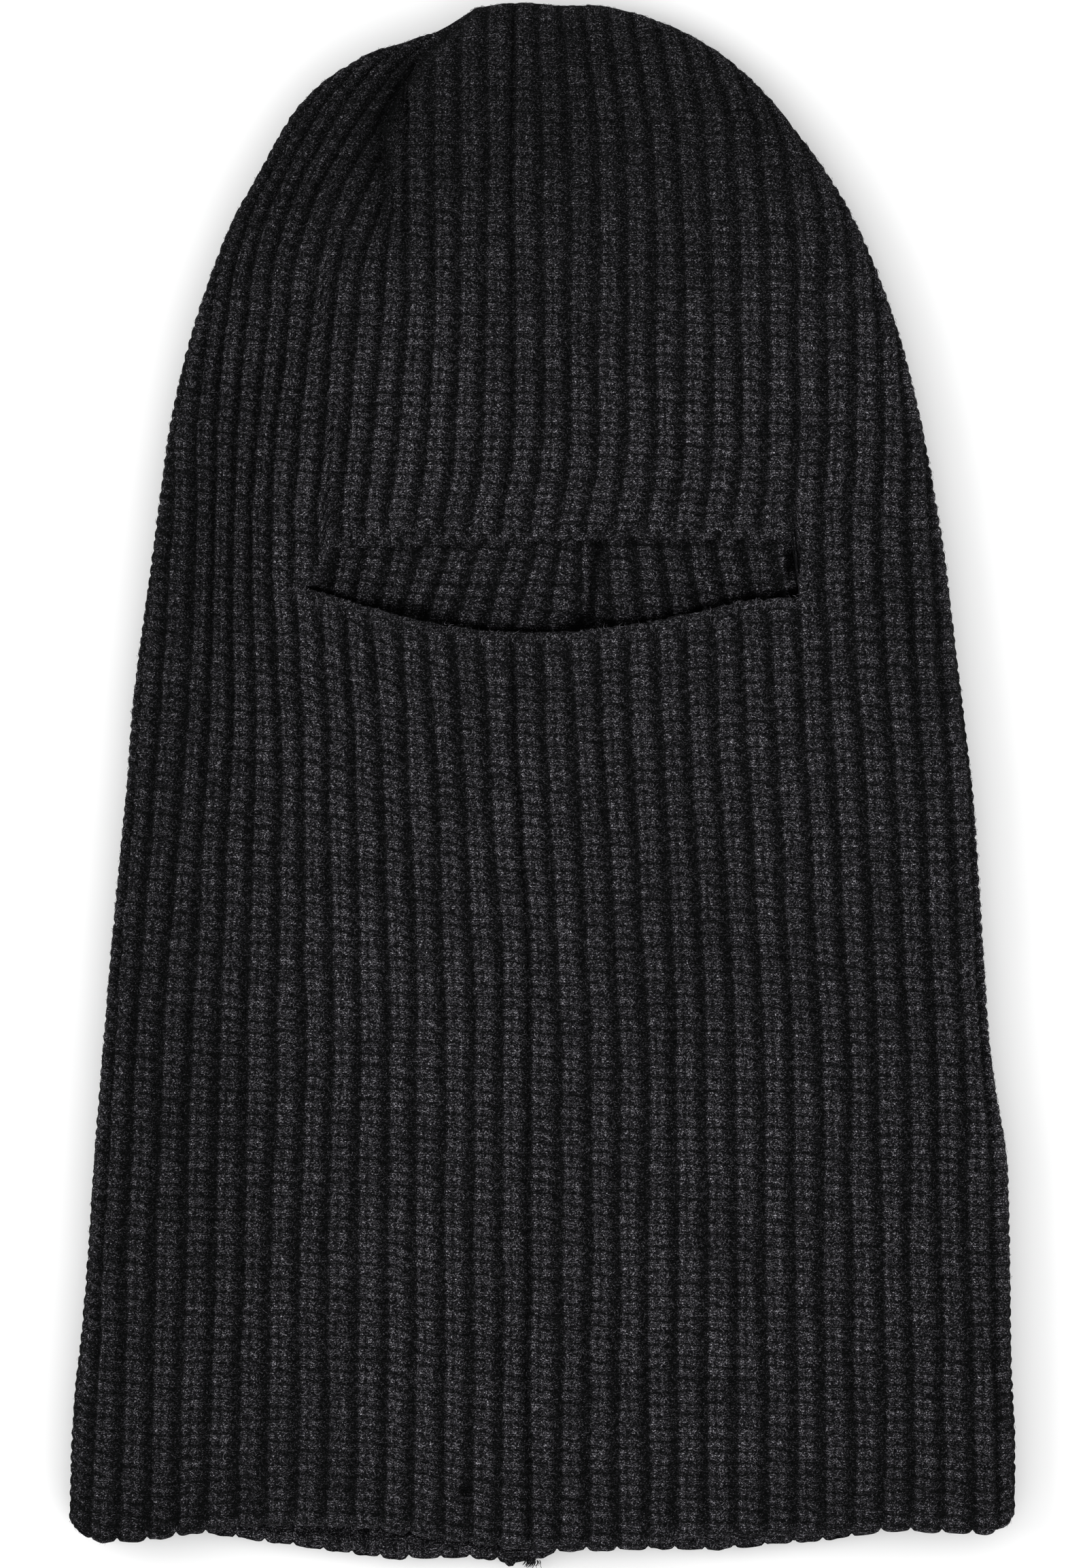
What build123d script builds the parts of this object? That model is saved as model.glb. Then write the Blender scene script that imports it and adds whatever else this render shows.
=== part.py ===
from build123d import *

import os

# Knitted balaclava, lying flat with the face opening up.
# X runs across it, Y up the garment towards the crown, Z out of its front.
# Heights are measured up the garment from the lowest point of the hem.
# One ribbed tube of knit: a front layer, a back layer with the centre back seam,
# and the folds that join them along both sides and over the crown.

# Driving dimensions, in millimetres.
LENGTH = 401.0  # hem to the top of the crown
HALF_HEM = 122.0  # half the width at the hem
LAYER = 5.2  # one layer of heavy ribbed knit
HOLLOW = 7.4  # room between the front and the back layer
FOLD_WIDTH = 9.0  # how far the side folds reach in from the outline
FOLD_HEIGHT = 110.0  # where the neck part turns up
FOLD_GAP = 0.5  # between the head part and the neck part
CROWN_HEIGHT = 318.0  # where the side folds meet the crown fold

SLOT_BROW = 262.0  # upper edge of the eye slot
SLOT_CORNER = 251.0  # its two ends
SLOT_NOSE = 238.0  # lowest point of its lower edge
SLOT_LEFT = -63.0
SLOT_RIGHT = 66.0
SLOT_SLANT = 8.0  # the left end slants this much
SLOT_ROUND = 4.0  # radius of the upper corners
SLOT_EDGE = 3.2  # finished edge all round the slot
TACK_REACH = 4.0  # a corner tack covers this much of the slot's end

HEM_BOW = 8.0  # the hem's corners are this much higher than its middle
HEM_CORNER = 7.0  # radius of the hem's corners
HEM_EDGE = 4.0  # finished edge of the hem
HEM_CLEAR = 0.3  # between the ends of the finished edge and the side folds
FRONT_RISE = 2.5  # the front hem is this much higher than the back one

SEAM_WIDTH = 3.0
SEAM_RIDGE = 0.8  # how far the seam stands up inside
SEAM_AT_HEM = -6.0
SEAM_DRIFT = 18.0  # the seam drifts this far to the right between the hem and the slot
TAIL_LENGTH = 2.6  # stubs of seam yarn below the hem
TAIL_SPREAD = 5.9  # between the two stubs

TUCK_WIDTH = 11.0  # knit folded under the front beside the crown's crease
TUCK_DEPTH = 2.4
CLOSING_DEPTH = 6.0  # gathered closing seam inside the crown
LABEL_SIZE = (24.0, 14.0)
LABEL_AT = (-20.0, 18.0)  # X and height of its middle
LABEL_THICK = 0.6
STITCH_SIZE = (3.0, 0.8, 0.5)

# Where the arcs of the outline meet: half width and height.
TEMPLE = (71.5, 360.0)
CHEEK = (98.1, 284.5)

THICK = 2 * LAYER + HOLLOW
MIDDLE = THICK / 2
BACK = LAYER  # inner face of the back layer
FRONT = THICK - LAYER  # inner face of the front layer
HEM_RADIUS = (HALF_HEM**2 + HEM_BOW**2) / (2 * HEM_BOW)
HEAD_LOW = FOLD_HEIGHT + FOLD_GAP / 2
NECK_HIGH = FOLD_HEIGHT - FOLD_GAP / 2
OVER = 30.0  # how far cutting shapes run past the garment
Y_SHIFT = (TAIL_LENGTH - LENGTH) / 2

os.makedirs("parts", exist_ok=True)


def at(height):
    """The Y of a height above the hem."""
    return height + Y_SHIFT


def seam_x(height):
    """The X of the centre back seam at a height."""
    return SEAM_AT_HEM + SEAM_DRIFT * height / SLOT_CORNER


def outline_face(inset=0.0):
    """The whole garment in plan, run on below the hem so that the hem can be cut later."""
    with BuildSketch() as face:
        with BuildLine():
            crown = TangentArc((0, at(LENGTH)), (TEMPLE[0], at(TEMPLE[1])), tangent=(1, 0))
            cheek = TangentArc(crown @ 1, (CHEEK[0], at(CHEEK[1])), tangent=crown % 1)
            side = TangentArc(cheek @ 1, (HALF_HEM, at(0)), tangent=cheek % 1)
            Polyline(side @ 1, (HALF_HEM, at(-OVER)), (0, at(-OVER)))
            mirror(about=Plane.YZ)
        make_face()
        if inset:
            offset(amount=-inset)
    return face.sketch


def hem_face(rise):
    """Everything in plan above a bowed hem with rounded corners, moved up by rise."""
    with BuildSketch() as face:
        with BuildLine():
            right = (HALF_HEM, at(HEM_BOW + rise))
            left = (-HALF_HEM, at(HEM_BOW + rise))
            ThreePointArc(left, (0, at(rise)), right)
            Polyline(right, (HALF_HEM, at(LENGTH + OVER)), (-HALF_HEM, at(LENGTH + OVER)), left)
        make_face()
        fillet(face.vertices().group_by(Axis.Y)[0], HEM_CORNER)
    return face.sketch


def hem_band_face(rise):
    """The strip of finished edge along a bowed hem, moved up by rise, between the side folds."""
    half = HALF_HEM - FOLD_WIDTH - HEM_CLEAR
    end_rise = rise + HEM_RADIUS - (HEM_RADIUS**2 - half**2) ** 0.5
    with BuildSketch() as face:
        with BuildLine():
            low = at(end_rise)
            high = at(end_rise + HEM_EDGE)
            ThreePointArc((-half, low), (0, at(rise)), (half, low))
            Line((half, low), (half, high))
            ThreePointArc((half, high), (0, at(rise + HEM_EDGE)), (-half, high))
            Line((-half, high), (-half, low))
        make_face()
    return face.sketch


def band_face(low, high, left=-HALF_HEM - OVER, right=HALF_HEM + OVER):
    """A rectangle between two heights and between two X."""
    with BuildSketch() as face:
        with Locations(((left + right) / 2, at((low + high) / 2))):
            Rectangle(right - left, high - low)
    return face.sketch


def slot_face(edge=0.0):
    """The eye slot: a nearly straight upper edge over a drooping lower edge."""
    left = (SLOT_LEFT, at(SLOT_CORNER))
    right = (SLOT_RIGHT, at(SLOT_CORNER))
    with BuildSketch() as face:
        with BuildLine():
            ThreePointArc(left, ((SLOT_LEFT + SLOT_RIGHT) / 2, at(SLOT_NOSE)), right)
            Polyline(right, (SLOT_RIGHT, at(SLOT_BROW)), (SLOT_LEFT + SLOT_SLANT, at(SLOT_BROW)), left)
        make_face()
        fillet(face.vertices().group_by(Axis.Y)[-1], SLOT_ROUND)
        if edge:
            offset(amount=edge)
    return face.sketch


def seam_face(low, high):
    """The leaning strip of the centre back seam between two heights."""
    half = SEAM_WIDTH / 2
    with BuildSketch() as face:
        with BuildLine():
            Polyline(
                (seam_x(low) - half, at(low)),
                (seam_x(low) + half, at(low)),
                (seam_x(high) + half, at(high)),
                (seam_x(high) - half, at(high)),
                close=True,
            )
        make_face()
    return face.sketch


def beside_seam_face(low, high, side):
    """Everything to one side of the seam strip between two heights, side -1 left or +1 right."""
    far = side * (HALF_HEM + OVER)
    half = side * SEAM_WIDTH / 2
    with BuildSketch() as face:
        with BuildLine():
            Polyline(
                (seam_x(low) + half, at(low)),
                (far, at(low)),
                (far, at(high)),
                (seam_x(high) + half, at(high)),
                close=True,
            )
        make_face()
    return face.sketch


def side_face(side, low, high):
    """One half of the plan between two heights."""
    far = side * (HALF_HEM + OVER)
    return band_face(low, high, min(0, far), max(0, far))


TUCK_TOP = (-28, at(390))
TUCK_MIDDLE = (-39, at(374))
TUCK_END = (-44, at(340))

OUTLINE = outline_face()
INSIDE = outline_face(LAYER)
PLATE = outline_face(FOLD_WIDTH)
BACK_HEM = hem_face(0)
FRONT_HEM = hem_face(FRONT_RISE)
SLOT = slot_face()
SLOT_RIM = slot_face(SLOT_EDGE)
TOP = LENGTH + OVER

# The whole tube of knit: a pillow with its hollow inside. It is cut up below.
with BuildPart() as tube:
    with BuildSketch():
        add(OUTLINE)
    extrude(amount=THICK)
    faces_edges = tube.edges().filter_by(lambda edge: edge.center().Z in (0, THICK))
    fillet(faces_edges.filter_by(lambda edge: edge.center().Y > at(1 - OVER)), MIDDLE - 0.2)
    with BuildSketch(Plane.XY.offset(BACK)):
        add(INSIDE)
    extrude(amount=HOLLOW, mode=Mode.SUBTRACT)
    with BuildSketch():
        add(band_face(-OVER, TOP))
        add(BACK_HEM, mode=Mode.SUBTRACT)
    extrude(amount=MIDDLE, mode=Mode.SUBTRACT)
    with BuildSketch(Plane.XY.offset(MIDDLE)):
        add(band_face(-OVER, TOP))
        add(FRONT_HEM, mode=Mode.SUBTRACT)
    extrude(amount=MIDDLE, mode=Mode.SUBTRACT)

# The folds alone: the tube without the flat plates of its front and back layers.
with BuildPart() as folds:
    add(tube.part)
    with BuildSketch():
        add(PLATE)
    extrude(amount=THICK, mode=Mode.SUBTRACT)

# Head part.

with BuildPart() as crown_fold:
    add(folds.part)
    with BuildSketch():
        add(band_face(CROWN_HEIGHT, TOP))
    extrude(amount=THICK, mode=Mode.INTERSECT)
crown_fold.part.label = "crown_fold"
export_step(crown_fold.part, "parts/crown_fold.step")

with BuildPart() as left_cheek_fold:
    add(folds.part)
    with BuildSketch():
        add(side_face(-1, HEAD_LOW, CROWN_HEIGHT))
    extrude(amount=THICK, mode=Mode.INTERSECT)
left_cheek_fold.part.label = "left_cheek_fold"
export_step(left_cheek_fold.part, "parts/left_cheek_fold.step")

with BuildPart() as right_cheek_fold:
    add(folds.part)
    with BuildSketch():
        add(side_face(1, HEAD_LOW, CROWN_HEIGHT))
    extrude(amount=THICK, mode=Mode.INTERSECT)
right_cheek_fold.part.label = "right_cheek_fold"
export_step(right_cheek_fold.part, "parts/right_cheek_fold.step")

with BuildPart() as front_crown_panel:
    with BuildSketch(Plane.XY.offset(FRONT)):
        add(PLATE)
        add(band_face(SLOT_CORNER, TOP), mode=Mode.INTERSECT)
        add(SLOT_RIM, mode=Mode.SUBTRACT)
    extrude(amount=LAYER)
front_crown_panel.part.label = "front_crown_panel"
export_step(front_crown_panel.part, "parts/front_crown_panel.step")

with BuildPart() as front_face_panel:
    with BuildSketch(Plane.XY.offset(FRONT)):
        add(PLATE)
        add(band_face(HEAD_LOW, SLOT_CORNER), mode=Mode.INTERSECT)
        add(SLOT_RIM, mode=Mode.SUBTRACT)
    extrude(amount=LAYER)
front_face_panel.part.label = "front_face_panel"
export_step(front_face_panel.part, "parts/front_face_panel.step")

with BuildPart() as brow_edge:
    with BuildSketch(Plane.XY.offset(FRONT)):
        add(SLOT_RIM)
        add(SLOT, mode=Mode.SUBTRACT)
        add(
            band_face(SLOT_CORNER, TOP, SLOT_LEFT + TACK_REACH, SLOT_RIGHT - TACK_REACH),
            mode=Mode.INTERSECT,
        )
    extrude(amount=LAYER)
brow_edge.part.label = "brow_edge"
export_step(brow_edge.part, "parts/brow_edge.step")

with BuildPart() as nose_edge:
    with BuildSketch(Plane.XY.offset(FRONT)):
        add(SLOT_RIM)
        add(SLOT, mode=Mode.SUBTRACT)
        add(
            band_face(-OVER, SLOT_CORNER, SLOT_LEFT + TACK_REACH, SLOT_RIGHT - TACK_REACH),
            mode=Mode.INTERSECT,
        )
    extrude(amount=LAYER)
nose_edge.part.label = "nose_edge"
export_step(nose_edge.part, "parts/nose_edge.step")

with BuildPart() as left_corner_tack:
    with BuildSketch(Plane.XY.offset(FRONT)):
        add(SLOT_RIM)
        add(SLOT, mode=Mode.SUBTRACT)
        add(band_face(-OVER, TOP, right=SLOT_LEFT + TACK_REACH), mode=Mode.INTERSECT)
    extrude(amount=LAYER)
left_corner_tack.part.label = "left_corner_tack"
export_step(left_corner_tack.part, "parts/left_corner_tack.step")

with BuildPart() as right_corner_tack:
    with BuildSketch(Plane.XY.offset(FRONT)):
        add(SLOT_RIM)
        add(SLOT, mode=Mode.SUBTRACT)
        add(band_face(-OVER, TOP, left=SLOT_RIGHT - TACK_REACH), mode=Mode.INTERSECT)
    extrude(amount=LAYER)
right_corner_tack.part.label = "right_corner_tack"
export_step(right_corner_tack.part, "parts/right_corner_tack.step")

with BuildPart() as back_head_left:
    with BuildSketch():
        add(PLATE)
        add(beside_seam_face(HEAD_LOW, TOP, -1), mode=Mode.INTERSECT)
    extrude(amount=LAYER)
back_head_left.part.label = "back_head_left"
export_step(back_head_left.part, "parts/back_head_left.step")

with BuildPart() as back_head_right:
    with BuildSketch():
        add(PLATE)
        add(beside_seam_face(HEAD_LOW, TOP, 1), mode=Mode.INTERSECT)
    extrude(amount=LAYER)
back_head_right.part.label = "back_head_right"
export_step(back_head_right.part, "parts/back_head_right.step")

with BuildPart() as head_back_seam:
    with BuildSketch():
        add(PLATE)
        add(seam_face(HEAD_LOW, TOP), mode=Mode.INTERSECT)
    extrude(amount=LAYER + SEAM_RIDGE)
head_back_seam.part.label = "head_back_seam"
export_step(head_back_seam.part, "parts/head_back_seam.step")

# The knit folded under the front beside the crease at the left of the crown.
with BuildPart() as crown_tuck:
    with BuildSketch(Plane.XY.offset(FRONT - TUCK_DEPTH)):
        with BuildLine():
            ThreePointArc(TUCK_TOP, TUCK_MIDDLE, TUCK_END)
            corner = (TUCK_TOP[0] + TUCK_WIDTH, TUCK_TOP[1])
            Polyline(TUCK_END, (corner[0], TUCK_MIDDLE[1]), corner, TUCK_TOP)
        make_face()
        add(PLATE, mode=Mode.INTERSECT)
    extrude(amount=TUCK_DEPTH)
crown_tuck.part.label = "crown_tuck"
export_step(crown_tuck.part, "parts/crown_tuck.step")

with BuildPart() as crown_closing_seam:
    with BuildSketch(Plane.XY.offset(MIDDLE - CLOSING_DEPTH / 3)):
        add(INSIDE)
        add(band_face(LENGTH - LAYER - CLOSING_DEPTH, TOP, -40, 45), mode=Mode.INTERSECT)
    extrude(amount=CLOSING_DEPTH / 3)
crown_closing_seam.part.label = "crown_closing_seam"
export_step(crown_closing_seam.part, "parts/crown_closing_seam.step")

# Neck part.

with BuildPart() as left_neck_fold:
    add(folds.part)
    with BuildSketch():
        add(side_face(-1, -OVER, NECK_HIGH))
    extrude(amount=THICK, mode=Mode.INTERSECT)
left_neck_fold.part.label = "left_neck_fold"
export_step(left_neck_fold.part, "parts/left_neck_fold.step")

with BuildPart() as right_neck_fold:
    add(folds.part)
    with BuildSketch():
        add(side_face(1, -OVER, NECK_HIGH))
    extrude(amount=THICK, mode=Mode.INTERSECT)
right_neck_fold.part.label = "right_neck_fold"
export_step(right_neck_fold.part, "parts/right_neck_fold.step")

with BuildPart() as neck_front_panel:
    with BuildSketch(Plane.XY.offset(FRONT)):
        add(PLATE)
        add(band_face(-OVER, NECK_HIGH), mode=Mode.INTERSECT)
        add(hem_face(FRONT_RISE + HEM_EDGE), mode=Mode.INTERSECT)
    extrude(amount=LAYER)
neck_front_panel.part.label = "neck_front_panel"
export_step(neck_front_panel.part, "parts/neck_front_panel.step")

with BuildPart() as front_hem_edge:
    with BuildSketch(Plane.XY.offset(FRONT)):
        add(hem_band_face(FRONT_RISE))
    extrude(amount=LAYER)
front_hem_edge.part.label = "front_hem_edge"
export_step(front_hem_edge.part, "parts/front_hem_edge.step")

with BuildPart() as neck_back_left:
    with BuildSketch():
        add(PLATE)
        add(beside_seam_face(-OVER, NECK_HIGH, -1), mode=Mode.INTERSECT)
    extrude(amount=LAYER)
    with BuildSketch():
        add(hem_face(HEM_EDGE))
    extrude(amount=LAYER, mode=Mode.INTERSECT)
neck_back_left.part.label = "neck_back_left"
export_step(neck_back_left.part, "parts/neck_back_left.step")

with BuildPart() as neck_back_right:
    with BuildSketch():
        add(PLATE)
        add(beside_seam_face(-OVER, NECK_HIGH, 1), mode=Mode.INTERSECT)
    extrude(amount=LAYER)
    with BuildSketch():
        add(hem_face(HEM_EDGE))
    extrude(amount=LAYER, mode=Mode.INTERSECT)
neck_back_right.part.label = "neck_back_right"
export_step(neck_back_right.part, "parts/neck_back_right.step")

with BuildPart() as neck_back_seam:
    with BuildSketch():
        add(seam_face(-OVER, NECK_HIGH))
        add(hem_face(HEM_EDGE), mode=Mode.INTERSECT)
    extrude(amount=LAYER + SEAM_RIDGE)
neck_back_seam.part.label = "neck_back_seam"
export_step(neck_back_seam.part, "parts/neck_back_seam.step")

with BuildPart() as back_hem_edge:
    with BuildSketch():
        add(hem_band_face(0))
    extrude(amount=LAYER)
back_hem_edge.part.label = "back_hem_edge"
export_step(back_hem_edge.part, "parts/back_hem_edge.step")

# Two frayed ends of the seam yarn, tapering away from the back hem.
with BuildPart() as seam_yarn_tails:
    for x in (SEAM_AT_HEM - TAIL_SPREAD / 2, SEAM_AT_HEM + TAIL_SPREAD / 2):
        with BuildSketch(Plane.XZ.offset(-at(0))):
            with Locations((x, LAYER / 2)):
                Circle(LAYER / 2 - 0.4)
        extrude(amount=TAIL_LENGTH, taper=14)
seam_yarn_tails.part.label = "seam_yarn_tails"
export_step(seam_yarn_tails.part, "parts/seam_yarn_tails.step")

with BuildPart() as care_label:
    with BuildSketch(Plane.XY.offset(FRONT - LABEL_THICK)):
        with Locations((LABEL_AT[0], at(LABEL_AT[1]))):
            Rectangle(*LABEL_SIZE)
    extrude(amount=LABEL_THICK)
care_label.part.label = "care_label"
export_step(care_label.part, "parts/care_label.step")

with BuildPart() as label_stitches:
    spread = LABEL_SIZE[0] - 2 * STITCH_SIZE[0]
    with BuildSketch(Plane.XY.offset(FRONT - LABEL_THICK - STITCH_SIZE[2])):
        with Locations((LABEL_AT[0], at(LABEL_AT[1]) + LABEL_SIZE[1] / 2 - STITCH_SIZE[1])):
            with GridLocations(spread, 1, 2, 1):
                Rectangle(STITCH_SIZE[0], STITCH_SIZE[1])
    extrude(amount=STITCH_SIZE[2])
label_stitches.part.label = "label_stitches"
export_step(label_stitches.part, "parts/label_stitches.step")
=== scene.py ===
import math

import bmesh
import bpy
import numpy as np
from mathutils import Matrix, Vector


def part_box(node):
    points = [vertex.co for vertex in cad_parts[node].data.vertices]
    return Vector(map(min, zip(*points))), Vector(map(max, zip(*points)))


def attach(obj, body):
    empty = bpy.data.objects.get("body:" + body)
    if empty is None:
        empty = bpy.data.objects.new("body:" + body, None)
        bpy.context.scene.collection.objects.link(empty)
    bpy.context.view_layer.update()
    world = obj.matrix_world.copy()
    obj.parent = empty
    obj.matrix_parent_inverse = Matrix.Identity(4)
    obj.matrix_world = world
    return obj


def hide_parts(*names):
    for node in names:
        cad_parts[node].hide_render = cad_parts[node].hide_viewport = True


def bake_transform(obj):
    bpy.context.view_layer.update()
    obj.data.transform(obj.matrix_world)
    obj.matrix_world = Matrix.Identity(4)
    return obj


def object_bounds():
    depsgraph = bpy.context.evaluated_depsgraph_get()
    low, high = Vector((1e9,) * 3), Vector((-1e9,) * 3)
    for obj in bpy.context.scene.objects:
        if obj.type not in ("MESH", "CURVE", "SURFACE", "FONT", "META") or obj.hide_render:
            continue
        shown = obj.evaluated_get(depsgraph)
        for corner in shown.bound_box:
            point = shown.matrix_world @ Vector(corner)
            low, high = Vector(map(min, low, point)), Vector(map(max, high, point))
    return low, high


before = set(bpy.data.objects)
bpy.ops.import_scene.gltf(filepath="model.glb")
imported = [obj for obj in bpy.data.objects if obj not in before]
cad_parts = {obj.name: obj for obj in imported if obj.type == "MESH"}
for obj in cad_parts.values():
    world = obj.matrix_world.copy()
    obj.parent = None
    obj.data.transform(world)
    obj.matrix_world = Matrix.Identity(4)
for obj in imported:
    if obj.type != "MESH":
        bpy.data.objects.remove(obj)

cad_low, cad_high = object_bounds()

# --- Places in millimetres, read from the frame. h is the height above the hem.
MM = 0.001


def node_box(node):
    """Lowest and highest corner of a CAD node, in millimetres."""
    low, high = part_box(node)
    return np.array(low) / MM, np.array(high) / MM


HEM_Y = node_box("back_hem_edge")[0][1]
LENGTH = cad_high[1] / MM - HEM_Y
THICK = cad_high[2] / MM
MIDDLE = THICK / 2
HALF_HEM = cad_high[0] / MM + 0.3
LAYER = node_box("back_head_left")[1][2]
NOSE = node_box("nose_edge")
BROW = node_box("brow_edge")
SLOT_LEFT = node_box("left_corner_tack")[0][0] + 3.2
SLOT_RIGHT = node_box("right_corner_tack")[1][0] - 3.2
SLOT_CORNER = node_box("front_face_panel")[1][1] - HEM_Y
SLOT_NOSE = NOSE[0][1] - HEM_Y + 3.2
SLOT_BROW = BROW[1][1] - HEM_Y - 3.2
TAILS = node_box("seam_yarn_tails")
LABEL = node_box("care_label")
LABEL_STITCHES = node_box("label_stitches")
CLOSING = node_box("crown_closing_seam")
SEAM_AT_HEM = (TAILS[0][0] + TAILS[1][0]) / 2
SEAM_SLOPE = (node_box("head_back_seam")[1][0] - SEAM_AT_HEM) / (node_box("head_back_seam")[1][1] - HEM_Y)

COURSE = 3.1  # height of one row of stitches
SPLIT_LOW = 141.0  # the neck pieces end here, above the line where the neck turns up
COLUMNS_PER_RIB = 10
ROWS_PER_COURSE = 4
ROLL = MIDDLE - 0.2  # radius of the side folds
RIB_DEPTH = 2.3
DENT = (-20.4, 17.5)  # x and h of the dent over the label, as a stitch through the knit makes
rng = np.random.default_rng(20)


# --- Small helpers: repeatable noise, easing, tables
def chance(i, j, seed):
    """A repeatable random value from 0 to 1 for whole numbers i and j."""
    n = (i.astype(np.int64) * 374761393 + j.astype(np.int64) * 668265263 + seed * 974634777) & 0xFFFFFFFF
    n = ((n ^ (n >> 13)) * 1274126177) & 0xFFFFFFFF
    return ((n ^ (n >> 16)) & 0xFFFF) / 65535.0


def noise(a, b, seed=1):
    """Smooth noise from -1 to 1 over two coordinates."""
    a, b = np.broadcast_arrays(np.asarray(a, float), np.asarray(b, float))
    i, j = np.floor(a), np.floor(b)
    fa, fb = a - i, b - j
    fa, fb = fa * fa * (3 - 2 * fa), fb * fb * (3 - 2 * fb)
    low = chance(i, j, seed) * (1 - fa) + chance(i + 1, j, seed) * fa
    high = chance(i, j + 1, seed) * (1 - fa) + chance(i + 1, j + 1, seed) * fa
    return 2 * (low * (1 - fb) + high * fb) - 1


def ease(x):
    """0 below 0, 1 above 1, smooth between."""
    x = np.clip(x, 0, 1)
    return x * x * (3 - 2 * x)


def hump(x, middle, reach):
    """A smooth bump, 1 in the middle and 0 beyond reach."""
    return ease(1 - np.abs(x - middle) / reach)


def table(pairs, blur):
    """A smooth function through a short table of places and values."""
    xs, ys = np.array(pairs, float).T
    grid = np.linspace(xs[0], xs[-1], 1500)
    step = grid[1] - grid[0]
    reach = max(1, int(3 * blur / step))
    kernel = np.exp(-0.5 * (np.arange(-reach, reach + 1) * step / blur) ** 2)
    values = np.convolve(np.pad(np.interp(grid, xs, ys), reach, mode="edge"), kernel / kernel.sum(), "valid")
    return lambda x: np.interp(x, grid, values)


# --- The garment's outline, and how the knit rolls over it
LEFT_OUT = table(
    [(0, 0.5), (12, 0.4), (28, 0.6), (45, 0.1), (60, -1.1), (80, -1.6), (140, -1.9), (200, -1.7), (220, -0.7),
     (260, -0.9), (300, -0.4), (330, 0.0), (345, 0.8), (358, 0.0), (366, 0.9), (374, 2.6), (380, 2.7),
     (386, 0.4)], 3.5)
RIGHT_OUT = table(
    [(0, -0.3), (12, -0.2), (30, 0.5), (50, 0.2), (70, 0.9), (101, 2.1), (110, 1.6), (118, 0.4), (134, -0.5),
     (160, 0.1), (198, 1.5), (230, 1.3), (260, 1.7), (300, 0.6), (345, 0.7), (357, 0.0), (368, -1.4),
     (378, -0.6), (386, 0.4)], 3.0)
TOP_OUT = table(
    [(-60, 0.0), (-52, 0.4), (-46, 0.3), (-42, -0.6), (-38, -2.0), (-32, -2.6), (-27, -3.5), (-24.2, -3.4),
     (-20.8, -1.0), (-18, 0.0), (-12, 0.3), (-5, 0.1), (0, -0.4), (5, -0.8), (10, -0.2), (16, 0.6),
     (40, 0.7), (60, 0)], 0.7)


def arc_points(start, direction, end, count):
    """Points of the arc that leaves start in a direction and ends at end, and its last direction."""
    start, end, d = np.array(start, float), np.array(end, float), np.array(direction, float)
    chord = end - start
    normal = np.array([d[1], -d[0]])
    radius = chord @ chord / (2 * (chord @ normal))
    centre = start + normal * radius
    turn = 2 * math.asin(np.linalg.norm(chord) / (2 * radius))
    cos, sin = np.cos(-np.linspace(0, turn, count)), np.sin(-np.linspace(0, turn, count))
    x, y = start - centre
    points = np.stack([centre[0] + x * cos - y * sin, centre[1] + x * sin + y * cos], 1)
    return points, np.array([d[0] * cos[-1] - d[1] * sin[-1], d[0] * sin[-1] + d[1] * cos[-1]])


def make_outline():
    """The CAD outline's three arcs on each side, carried on straight below the hem."""
    temple, cheek = (71.5, 360.0), (98.1, 284.5)
    a, d = arc_points((0, LENGTH), (1, 0), temple, 150)
    b, d = arc_points(temple, d, cheek, 90)
    c, d = arc_points(cheek, d, (HALF_HEM, 0), 200)
    right = np.concatenate([a, b[1:], c[1:], [[HALF_HEM, -12.0], [HALF_HEM, -24.0]]])
    return np.concatenate([right[::-1] * [-1, 1], right[1:]])


def normals_of(line):
    step = np.gradient(line, axis=0)
    out = np.stack([-step[:, 1], step[:, 0]], 1)
    return out / np.linalg.norm(out, axis=1)[:, None]


def unevenness(line, out):
    """How far the real outline stands outside the regular one, along its normal."""
    x, h = line.T
    sides = np.where(h < 345, 1.0, ease((np.abs(x) - 44) / 8))
    across = sides * np.where(x < 0, -LEFT_OUT(h), RIGHT_OUT(h))
    up = (1 - sides) * TOP_OUT(x) * (h > 300)
    return across * out[:, 0] + up * out[:, 1] + 0.35


OUTLINE = make_outline()
OUT_NORMAL = normals_of(OUTLINE)
INNER_LINE = OUTLINE - OUT_NORMAL * ROLL
REACH = ROLL + unevenness(OUTLINE, OUT_NORMAL)
SHEET_LINE = OUTLINE + OUT_NORMAL * ROLL * (math.pi / 2 - 1)
TOP_POINT = int(np.argmax(SHEET_LINE[:, 1]))
SHEET_TOP = float(SHEET_LINE[TOP_POINT, 1])


def side_limit(h, side):
    """Where the sheet ends at a height, side -1 left or +1 right."""
    part = SHEET_LINE[: TOP_POINT + 1] if side < 0 else SHEET_LINE[TOP_POINT:][::-1]
    return np.interp(h, np.maximum.accumulate(part[:, 1]), part[:, 0])


def top_limit(x):
    """Where the sheet ends above x, near the crown."""
    near = SHEET_LINE[SHEET_LINE[:, 1] > 345]
    return np.interp(x, near[:, 0], near[:, 1])


def nearest(flat, line):
    """Index of the nearest point of a line to each point."""
    found = np.empty(len(flat), int)
    for a in range(0, len(flat), 20000):
        part = flat[a : a + 20000]
        found[a : a + 20000] = ((part[:, None, :] - line[None, :, :]) ** 2).sum(2).argmin(1)
    return found


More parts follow.
